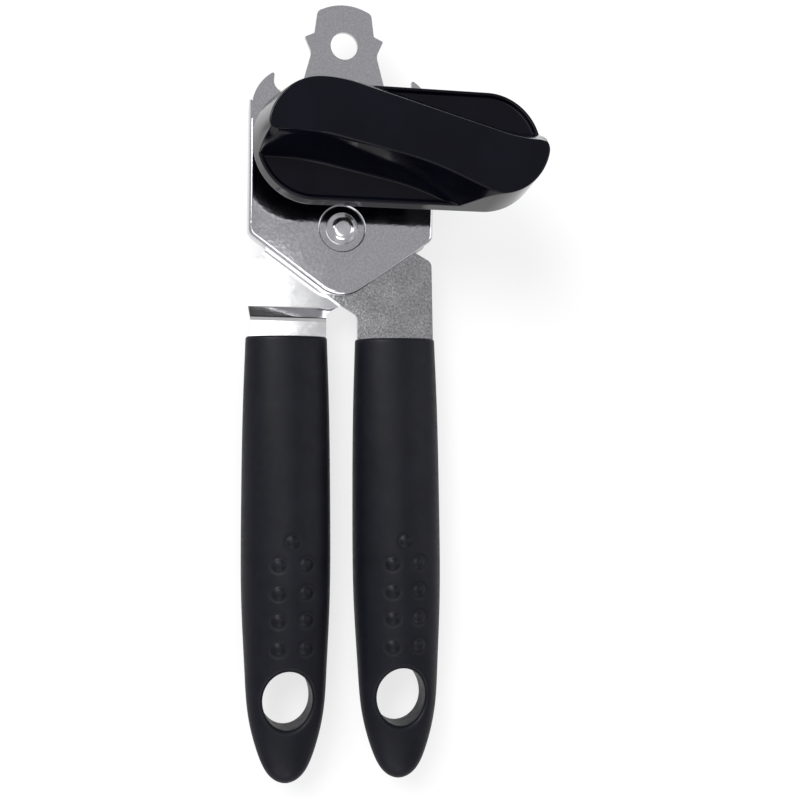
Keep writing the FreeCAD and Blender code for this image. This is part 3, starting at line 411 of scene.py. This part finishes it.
grip_parts = grip_grids()
for side, (across, lean) in GRIP_PLACES.items():
    cosine, sine = math.cos(math.radians(lean)), math.sin(math.radians(lean))
    turned = np.array([[cosine, sine, 0], [-sine, cosine, 0], [0, 0, 1]])
    place = np.array([across, GRIP_TOP, PLATE_FACE])
    grip = piece_from_grids(side + "_moulded_grip", [(part @ turned + place, False) for part in grip_parts])
    put_on(grip, satin_plastic)
    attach(grip, GRIP_BODIES[side])
    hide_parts(side + "_grip")

# ---------------------------------------------------------------- front plate and levers
# Pressed from sheet steel and plated bright. The right lever shows the most of the sheet's grain and the
# left lever the least. All three carry one plating, but their base colours differ as painted light: the left
# lever lighter as a painted reflection, the right lever darker as painted shade. The rivet, the bushing and
# the stud hold them together.


def plated(name, colour, speckle, low, high, peel_scale, peel_depth, grain_depth):
    """Bright plate over pressed sheet: speckles, an orange peel, a finer grain and a wandering roughness."""
    material, tree, shader = new_material(name, colour, 1, (low + high) / 2)
    darker, lighter = (tuple(part * (1 + sign * speckle) for part in colour) for sign in (-1, 1))
    vary(tree, add_noise(tree, 1800, 3), shader.inputs["Base Color"], darker, lighter)
    vary(tree, add_noise(tree, 160, 3), shader.inputs["Roughness"], low, high)
    add_bump(tree, shader, add_noise(tree, peel_scale, 2), peel_depth)
    add_bump(tree, shader, add_noise(tree, 4 * peel_scale, 2), grain_depth)
    return material


def finish(name, material):
    """Give a carried-over node this material, in place of every slot that it has."""
    put_on(frame["nodes"][name], material)


# One plating in three copies: the left lever's lighter colour is a painted reflection, the right lever's
# darker colour is painted shade.
finish("front_plate", plated("plated_front_plate", (0.51, 0.51, 0.53), speckle=0.12, low=0.05, high=0.1,
                             peel_scale=260, peel_depth=0.012 * MM, grain_depth=0.010 * MM))
finish("right_lever", plated("plated_right_lever", (0.37, 0.37, 0.38), speckle=0.35, low=0.10, high=0.2,
                             peel_scale=420, peel_depth=0.03 * MM, grain_depth=0.02 * MM))
finish("left_lever", plated("plated_left_lever", (0.75, 0.75, 0.76), speckle=0.04, low=0.08, high=0.14,
                            peel_scale=200, peel_depth=0.008 * MM, grain_depth=0.002 * MM))

# ---------------------------------------------------------------- rivet, stud and turned pieces
# Turned from bright steel bar: the pivot rivet with its dome, the drive shaft, the cutter's stud, the feed
# nut and the spacers and washers between the levers.
turned_steel, tree, shader = new_material("bright_turned_steel", (0.58, 0.58, 0.6), 1, 0.16)
vary(tree, add_noise(tree, 300, 3), shader.inputs["Roughness"], 0.1, 0.24)
add_bump(tree, shader, add_noise(tree, 900, 2, (1, 1, 4)), 0.003 * MM)
for name in ("pivot_rivet", "pivot_spacer", "lever_washer", "rear_washer", "knob_washer", "gear_washer",
             "drive_shaft", "lock_washer", "feed_nut", "cutter_stud", "cutter_spacer", "cutter_collar",
             "stud_washer"):
    finish(name, turned_steel)

# ---------------------------------------------------------------- drive bushing
# A porous bronze bearing, sintered and soaked in oil, pressed into the front plate round the drive shaft.
bushing_metal, tree, shader = new_material("sintered_bronze", (0.50, 0.36, 0.2), 1, 0.38)
vary(tree, add_noise(tree, 800, 4), shader.inputs["Base Color"], (0.42, 0.29, 0.16), (0.56, 0.42, 0.25))
add_bump(tree, shader, add_noise(tree, 2200, 3), 0.01 * MM)
finish("drive_bushing", bushing_metal)

# ---------------------------------------------------------------- gears and wheels
# Stamped, hardened and tumbled steel: two gears, the toothed feed wheel, and the cutting wheel, whose edge
# is ground.
tumbled_steel, tree, shader = new_material("tumbled_hard_steel", (0.42, 0.42, 0.43), 1, 0.34)
vary(tree, add_noise(tree, 350, 4), shader.inputs["Roughness"], 0.26, 0.44)
vary(tree, add_noise(tree, 240, 3), shader.inputs["Base Color"], (0.36, 0.36, 0.37), (0.48, 0.48, 0.49))
add_bump(tree, shader, add_noise(tree, 1500, 3), 0.008 * MM)
for name in ("drive_gear", "cutter_gear", "feed_wheel"):
    finish(name, tumbled_steel)

ground_steel, tree, shader = new_material("ground_cutting_steel", (0.6, 0.6, 0.61), 1, 0.22)
vary(tree, add_noise(tree, 700, 2, (1, 1, 6)), shader.inputs["Roughness"], 0.15, 0.3)
add_bump(tree, shader, add_noise(tree, 1800, 2, (1, 1, 6)), 0.004 * MM)
finish("cutting_wheel", ground_steel)

# ---------------------------------------------------------------- floor and light
# A pale sheet of opal plastic lit evenly from below, as on a light table, under soft studio lamps with the
# main one to the upper left.
FLOOR_HALF, FLOOR_GLOW = 3.0, 0.7
floor_mesh = bpy.data.meshes.new("floor")
floor_corners = [(x * FLOOR_HALF, y * FLOOR_HALF, 0) for x, y in ((-1, -1), (1, -1), (1, 1), (-1, 1))]
floor_mesh.from_pydata(floor_corners, [], [(0, 1, 2, 3)])
floor = bpy.data.objects.new("floor", floor_mesh)
bpy.context.scene.collection.objects.link(floor)
opal_sheet, tree, shader = new_material("opal_sheet", (0.2, 0.2, 0.2), 0, 0.9)
shader.inputs["Specular IOR Level"].default_value = 0.0
shader.inputs["Emission Color"].default_value = (1, 1, 1, 1)
shader.inputs["Emission Strength"].default_value = FLOOR_GLOW
vary(tree, add_noise(tree, 30, 2), shader.inputs["Base Color"], (0.195, 0.195, 0.2), (0.205, 0.205, 0.205))
put_on(floor, opal_sheet)


def add_lamp(name, place, aim, width, height, power):
    """A soft rectangular lamp at a place, turned towards a point."""
    lamp = bpy.data.lights.new(name, "AREA")
    lamp.shape = "RECTANGLE"
    lamp.size, lamp.size_y, lamp.energy = width, height, power
    holder = bpy.data.objects.new(name, lamp)
    holder.location = place
    holder.rotation_euler = (Vector(aim) - Vector(place)).to_track_quat("-Z", "Y").to_euler()
    bpy.context.scene.collection.objects.link(holder)


add_lamp("key_lamp", (-0.8, 0.9, 1.3), aim=(0, 0, 0), width=1.0, height=1.0, power=40)
add_lamp("side_lamp", (1.5, 0.2, 1.1), aim=(0, 0, 0), width=0.8, height=1.6, power=8)
add_lamp("low_lamp", (-0.2, -1.5, 1.0), aim=(0, 0, 0), width=1.4, height=0.7, power=12)
add_lamp("top_lamp", (-0.13, -0.16, 1.2), aim=(-0.13, -0.16, 0), width=0.5, height=0.66, power=2.6)
world = bpy.data.worlds.new("studio")
world.use_nodes = True
world.node_tree.nodes["Background"].inputs["Color"].default_value = (0.62, 0.62, 0.63, 1)
world.node_tree.nodes["Background"].inputs["Strength"].default_value = 0.9
bpy.context.scene.world = world
bpy.context.scene.view_settings.view_transform = "Standard"

# ---------------------------------------------------------------- camera
# Above the opener and a little to its left, looking straight down at it.
CAMERA_PLACE, CAMERA_TURNS, CAMERA_LENS = (-0.0707, -0.00482, 0.3636), (12.18, -0.58, -0.62), 58.65
yaw, pitch, roll = (math.radians(angle) for angle in CAMERA_TURNS)
to_camera = Matrix.Rotation(roll, 3, "Z") @ Matrix.Rotation(pitch, 3, "X") @ Matrix.Rotation(yaw, 3, "Y")
camera_data = bpy.data.cameras.new("camera")
camera_data.lens, camera_data.sensor_width = CAMERA_LENS, 36.0
camera_data.clip_start, camera_data.clip_end = 0.01, 20
camera = bpy.data.objects.new("camera", camera_data)
camera.location = CAMERA_PLACE
camera.rotation_euler = to_camera.transposed().to_euler()
bpy.context.scene.collection.objects.link(camera)
bpy.context.scene.camera = camera
